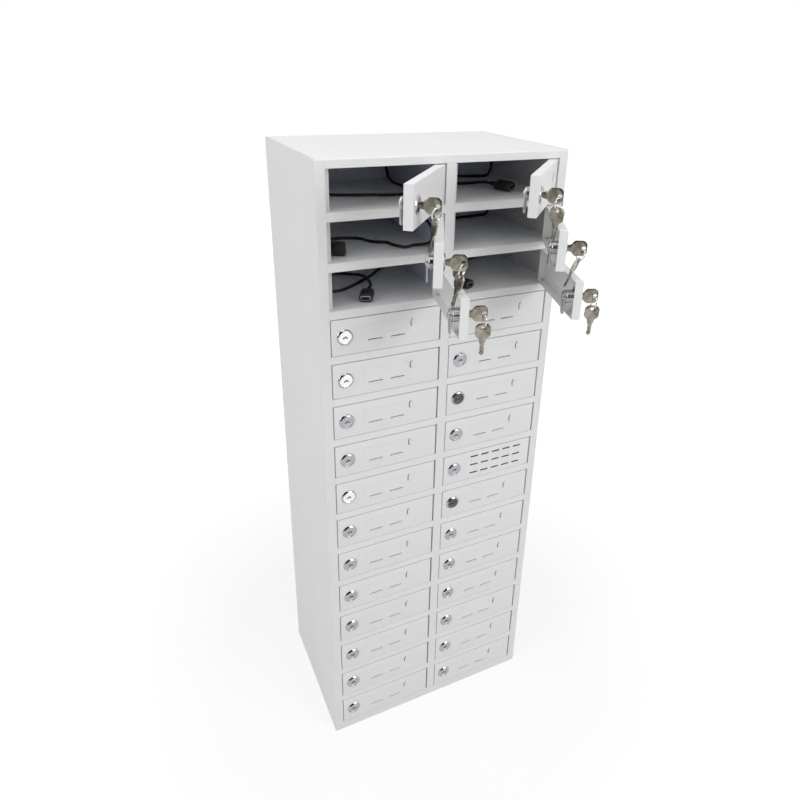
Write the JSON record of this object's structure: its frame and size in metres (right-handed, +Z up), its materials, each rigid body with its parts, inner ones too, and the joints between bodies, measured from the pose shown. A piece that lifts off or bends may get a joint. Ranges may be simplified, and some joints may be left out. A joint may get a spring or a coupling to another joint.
{
  "type": "phone locker cabinet",
  "caption": "Tall steel cabinet of small lockable phone compartments in two columns, with hinged doors, cam locks, keys and charging leads.",
  "frame": {"origin": "centre of the cabinet's base, on the floor", "axes": "+Z up, +X to the right seen from the front, -Y towards the person who opens the doors"},
  "size_m": [0.375, 0.3935, 1],
  "materials": {
    "cabinet_paint": "smooth light grey powder coat",
    "door_paint": "smooth light grey powder coat",
    "inside_paint": "light grey powder coat, in shade",
    "pin_steel": "bright zinc",
    "lock_metal": "polished nickel plate",
    "key_metal": "nickel silver",
    "lead_black": "matte black jacket",
    "fitting_black": "matte black moulding",
    "unit_black": "fine grained black moulding"
  },
  "bodies": {
    "cabinet": {"left_side_panel": "cabinet_paint", "right_side_panel": "cabinet_paint", "top_panel": "cabinet_paint", "base_panel": "cabinet_paint", "rear_cover": "cabinet_paint", "inner_back_panel": "inside_paint", "centre_divider": "cabinet_paint", "shelves": "cabinet_paint", "hinge_pins": "pin_steel", "charging_leads": "lead_black", "lead_fittings": "fitting_black", "power_unit": "unit_black"},
    "door_L01": {"door_L01": "door_paint"},
    "door_L02": {"door_L02": "door_paint"},
    "door_L03": {"door_L03": "door_paint"},
    "door_R01": {"door_R01": "door_paint"},
    "door_R02": {"door_R02": "door_paint"},
    "door_R03": {"door_R03": "door_paint"},
    "lock_core_L01": {"lock_core_L01": "lock_metal"},
    "key_L01": {"key_L01": "key_metal"},
    "spare_key_L01": {"spare_key_L01": "key_metal"},
    "lock_core_L02": {"lock_core_L02": "lock_metal"},
    "key_L02": {"key_L02": "key_metal"},
    "spare_key_L02": {"spare_key_L02": "key_metal"},
    "lock_core_L03": {"lock_core_L03": "lock_metal"},
    "key_L03": {"key_L03": "key_metal"},
    "spare_key_L03": {"spare_key_L03": "key_metal"},
    "lock_core_R01": {"lock_core_R01": "lock_metal"},
    "key_R01": {"key_R01": "key_metal"},
    "spare_key_R01": {"spare_key_R01": "key_metal"},
    "lock_core_R02": {"lock_core_R02": "lock_metal"},
    "key_R02": {"key_R02": "key_metal"},
    "spare_key_R02": {"spare_key_R02": "key_metal"},
    "lock_core_R03": {"lock_core_R03": "lock_metal"},
    "key_R03": {"key_R03": "key_metal"},
    "spare_key_R03": {"spare_key_R03": "key_metal"},
    "door_L04": {"door_L04": "door_paint"},
    "door_L05": {"door_L05": "door_paint"},
    "door_L06": {"door_L06": "door_paint"},
    "door_L07": {"door_L07": "door_paint"},
    "door_L08": {"door_L08": "door_paint"},
    "door_L09": {"door_L09": "door_paint"},
    "door_L10": {"door_L10": "door_paint"},
    "door_L11": {"door_L11": "door_paint"},
    "door_L12": {"door_L12": "door_paint"},
    "door_L13": {"door_L13": "door_paint"},
    "door_L14": {"door_L14": "door_paint"},
    "door_L15": {"door_L15": "door_paint"},
    "door_R04": {"door_R04": "door_paint"},
    "door_R05": {"door_R05": "door_paint"},
    "door_R06": {"door_R06": "door_paint"},
    "door_R07": {"door_R07": "door_paint"},
    "door_R08": {"door_R08": "door_paint"},
    "door_R09": {"door_R09": "door_paint"},
    "door_R10": {"door_R10": "door_paint"},
    "door_R11": {"door_R11": "door_paint"},
    "door_R12": {"door_R12": "door_paint"},
    "door_R13": {"door_R13": "door_paint"},
    "door_R14": {"door_R14": "door_paint"},
    "door_R15": {"door_R15": "door_paint"}
  },
  "joints": [
    {"name": "door_L01_hinge", "type": "hinge", "parent": "cabinet", "child": "door_L01", "pos_m": [-0.01265, -0.1167, 0.9617], "axis": [0, 0, 1], "range_deg": [-50, 45]},
    {"name": "door_L02_hinge", "type": "hinge", "parent": "cabinet", "child": "door_L02", "pos_m": [-0.01265, -0.1167, 0.8961], "axis": [0, 0, 1], "range_deg": [-63, 32]},
    {"name": "door_L03_hinge", "type": "hinge", "parent": "cabinet", "child": "door_L03", "pos_m": [-0.01265, -0.1167, 0.8305], "axis": [0, 0, 1], "range_deg": [-75, 20]},
    {"name": "door_R01_hinge", "type": "hinge", "parent": "cabinet", "child": "door_R01", "pos_m": [0.1678, -0.1167, 0.9617], "axis": [0, 0, 1], "range_deg": [-46, 49]},
    {"name": "door_R02_hinge", "type": "hinge", "parent": "cabinet", "child": "door_R02", "pos_m": [0.1678, -0.1167, 0.8961], "axis": [0, 0, 1], "range_deg": [-61, 34]},
    {"name": "door_R03_hinge", "type": "hinge", "parent": "cabinet", "child": "door_R03", "pos_m": [0.1678, -0.1167, 0.8305], "axis": [0, 0, 1], "range_deg": [-71, 24]},
    {"name": "lock_L01_turn", "type": "hinge", "parent": "door_L01", "child": "lock_core_L01", "pos_m": [-0.09938, -0.22753, 0.9617], "axis": [-0.766, 0.6428, 0], "range_deg": [0, 90]},
    {"name": "lock_L02_turn", "type": "hinge", "parent": "door_L02", "child": "lock_core_L02", "pos_m": [-0.07223, -0.2442, 0.8961], "axis": [-0.891, 0.454, 0], "range_deg": [0, 90]},
    {"name": "lock_L03_turn", "type": "hinge", "parent": "door_L03", "child": "lock_core_L03", "pos_m": [-0.04442, -0.2538, 0.8305], "axis": [-0.9659, 0.2588, 0], "range_deg": [0, 90]},
    {"name": "lock_R01_turn", "type": "hinge", "parent": "door_R01", "child": "lock_core_R01", "pos_m": [0.07355, -0.22121, 0.9617], "axis": [-0.7193, 0.6947, 0], "range_deg": [0, 90]},
    {"name": "lock_R02_turn", "type": "hinge", "parent": "door_R02", "child": "lock_core_R02", "pos_m": [0.10381, -0.24204, 0.8961], "axis": [-0.8746, 0.4848, 0], "range_deg": [0, 90]},
    {"name": "lock_R03_turn", "type": "hinge", "parent": "door_R03", "child": "lock_core_R03", "pos_m": [0.12655, -0.25125, 0.8305], "axis": [-0.9455, 0.3256, 0], "range_deg": [0, 90]},
    {"name": "key_L01_draw", "type": "slide", "parent": "lock_core_L01", "child": "key_L01", "axis": [0.766, -0.6428, 0], "range_m": [0, 0.026]},
    {"name": "key_L02_draw", "type": "slide", "parent": "lock_core_L02", "child": "key_L02", "axis": [0.891, -0.454, 0], "range_m": [0, 0.026]},
    {"name": "key_L03_draw", "type": "slide", "parent": "lock_core_L03", "child": "key_L03", "axis": [0.9659, -0.2588, 0], "range_m": [0, 0.026]},
    {"name": "key_R01_draw", "type": "slide", "parent": "lock_core_R01", "child": "key_R01", "axis": [0.7193, -0.6947, 0], "range_m": [0, 0.026]},
    {"name": "key_R02_draw", "type": "slide", "parent": "lock_core_R02", "child": "key_R02", "axis": [0.8746, -0.4848, 0], "range_m": [0, 0.026]},
    {"name": "key_R03_draw", "type": "slide", "parent": "lock_core_R03", "child": "key_R03", "axis": [0.9455, -0.3256, 0], "range_m": [0, 0.026]},
    {"name": "spare_L01_swing", "type": "hinge", "parent": "key_L01", "child": "spare_key_L01", "pos_m": [-0.08061, -0.24328, 0.9617], "axis": [-0.6428, -0.766, 0], "range_deg": [-8, 60], "deforming": ["spare_key_L01"]},
    {"name": "spare_L02_swing", "type": "hinge", "parent": "key_L02", "child": "spare_key_L02", "pos_m": [-0.0504, -0.25532, 0.8961], "axis": [-0.454, -0.891, 0], "range_deg": [-8, 60], "deforming": ["spare_key_L02"]},
    {"name": "spare_L03_swing", "type": "hinge", "parent": "key_L03", "child": "spare_key_L03", "pos_m": [-0.02075, -0.26014, 0.8305], "axis": [-0.2588, -0.9659, 0], "range_deg": [-8, 60], "deforming": ["spare_key_L03"]},
    {"name": "spare_R01_swing", "type": "hinge", "parent": "key_R01", "child": "spare_key_R01", "pos_m": [0.09117, -0.23823, 0.9617], "axis": [-0.6947, -0.7193, 0], "range_deg": [-8, 60], "deforming": ["spare_key_R01"]},
    {"name": "spare_R02_swing", "type": "hinge", "parent": "key_R02", "child": "spare_key_R02", "pos_m": [0.12524, -0.25392, 0.8961], "axis": [-0.4848, -0.8746, 0], "range_deg": [-8, 60], "deforming": ["spare_key_R02"]},
    {"name": "spare_R03_swing", "type": "hinge", "parent": "key_R03", "child": "spare_key_R03", "pos_m": [0.14971, -0.25923, 0.8305], "axis": [-0.3256, -0.9455, 0], "range_deg": [-8, 60], "deforming": ["spare_key_R03"]},
    {"name": "door_L04_hinge", "type": "hinge", "parent": "cabinet", "child": "door_L04", "pos_m": [-0.01265, -0.1167, 0.7649], "axis": [0, 0, 1], "range_deg": [0, 95]},
    {"name": "door_L05_hinge", "type": "hinge", "parent": "cabinet", "child": "door_L05", "pos_m": [-0.01265, -0.1167, 0.6993], "axis": [0, 0, 1], "range_deg": [0, 95]},
    {"name": "door_L06_hinge", "type": "hinge", "parent": "cabinet", "child": "door_L06", "pos_m": [-0.01265, -0.1167, 0.6337], "axis": [0, 0, 1], "range_deg": [0, 95]},
    {"name": "door_L07_hinge", "type": "hinge", "parent": "cabinet", "child": "door_L07", "pos_m": [-0.01265, -0.1167, 0.5681], "axis": [0, 0, 1], "range_deg": [0, 95]},
    {"name": "door_L08_hinge", "type": "hinge", "parent": "cabinet", "child": "door_L08", "pos_m": [-0.01265, -0.1167, 0.5025], "axis": [0, 0, 1], "range_deg": [0, 95]},
    {"name": "door_L09_hinge", "type": "hinge", "parent": "cabinet", "child": "door_L09", "pos_m": [-0.01265, -0.1167, 0.4369], "axis": [0, 0, 1], "range_deg": [0, 95]},
    {"name": "door_L10_hinge", "type": "hinge", "parent": "cabinet", "child": "door_L10", "pos_m": [-0.01265, -0.1167, 0.3713], "axis": [0, 0, 1], "range_deg": [0, 95]},
    {"name": "door_L11_hinge", "type": "hinge", "parent": "cabinet", "child": "door_L11", "pos_m": [-0.01265, -0.1167, 0.3057], "axis": [0, 0, 1], "range_deg": [0, 95]},
    {"name": "door_L12_hinge", "type": "hinge", "parent": "cabinet", "child": "door_L12", "pos_m": [-0.01265, -0.1167, 0.2401], "axis": [0, 0, 1], "range_deg": [0, 95]},
    {"name": "door_L13_hinge", "type": "hinge", "parent": "cabinet", "child": "door_L13", "pos_m": [-0.01265, -0.1167, 0.1745], "axis": [0, 0, 1], "range_deg": [0, 95]},
    {"name": "door_L14_hinge", "type": "hinge", "parent": "cabinet", "child": "door_L14", "pos_m": [-0.01265, -0.1167, 0.1089], "axis": [0, 0, 1], "range_deg": [0, 95]},
    {"name": "door_L15_hinge", "type": "hinge", "parent": "cabinet", "child": "door_L15", "pos_m": [-0.01265, -0.1167, 0.0433], "axis": [0, 0, 1], "range_deg": [0, 95]},
    {"name": "door_R04_hinge", "type": "hinge", "parent": "cabinet", "child": "door_R04", "pos_m": [0.1678, -0.1167, 0.7649], "axis": [0, 0, 1], "range_deg": [0, 95]},
    {"name": "door_R05_hinge", "type": "hinge", "parent": "cabinet", "child": "door_R05", "pos_m": [0.1678, -0.1167, 0.6993], "axis": [0, 0, 1], "range_deg": [0, 95]},
    {"name": "door_R06_hinge", "type": "hinge", "parent": "cabinet", "child": "door_R06", "pos_m": [0.1678, -0.1167, 0.6337], "axis": [0, 0, 1], "range_deg": [0, 95]},
    {"name": "door_R07_hinge", "type": "hinge", "parent": "cabinet", "child": "door_R07", "pos_m": [0.1678, -0.1167, 0.5681], "axis": [0, 0, 1], "range_deg": [0, 95]},
    {"name": "door_R08_hinge", "type": "hinge", "parent": "cabinet", "child": "door_R08", "pos_m": [0.1678, -0.1167, 0.5025], "axis": [0, 0, 1], "range_deg": [0, 95]},
    {"name": "door_R09_hinge", "type": "hinge", "parent": "cabinet", "child": "door_R09", "pos_m": [0.1678, -0.1167, 0.4369], "axis": [0, 0, 1], "range_deg": [0, 95]},
    {"name": "door_R10_hinge", "type": "hinge", "parent": "cabinet", "child": "door_R10", "pos_m": [0.1678, -0.1167, 0.3713], "axis": [0, 0, 1], "range_deg": [0, 95]},
    {"name": "door_R11_hinge", "type": "hinge", "parent": "cabinet", "child": "door_R11", "pos_m": [0.1678, -0.1167, 0.3057], "axis": [0, 0, 1], "range_deg": [0, 95]},
    {"name": "door_R12_hinge", "type": "hinge", "parent": "cabinet", "child": "door_R12", "pos_m": [0.1678, -0.1167, 0.2401], "axis": [0, 0, 1], "range_deg": [0, 95]},
    {"name": "door_R13_hinge", "type": "hinge", "parent": "cabinet", "child": "door_R13", "pos_m": [0.1678, -0.1167, 0.1745], "axis": [0, 0, 1], "range_deg": [0, 95]},
    {"name": "door_R14_hinge", "type": "hinge", "parent": "cabinet", "child": "door_R14", "pos_m": [0.1678, -0.1167, 0.1089], "axis": [0, 0, 1], "range_deg": [0, 95]},
    {"name": "door_R15_hinge", "type": "hinge", "parent": "cabinet", "child": "door_R15", "pos_m": [0.1678, -0.1167, 0.0433], "axis": [0, 0, 1], "range_deg": [0, 95]}
  ]
}
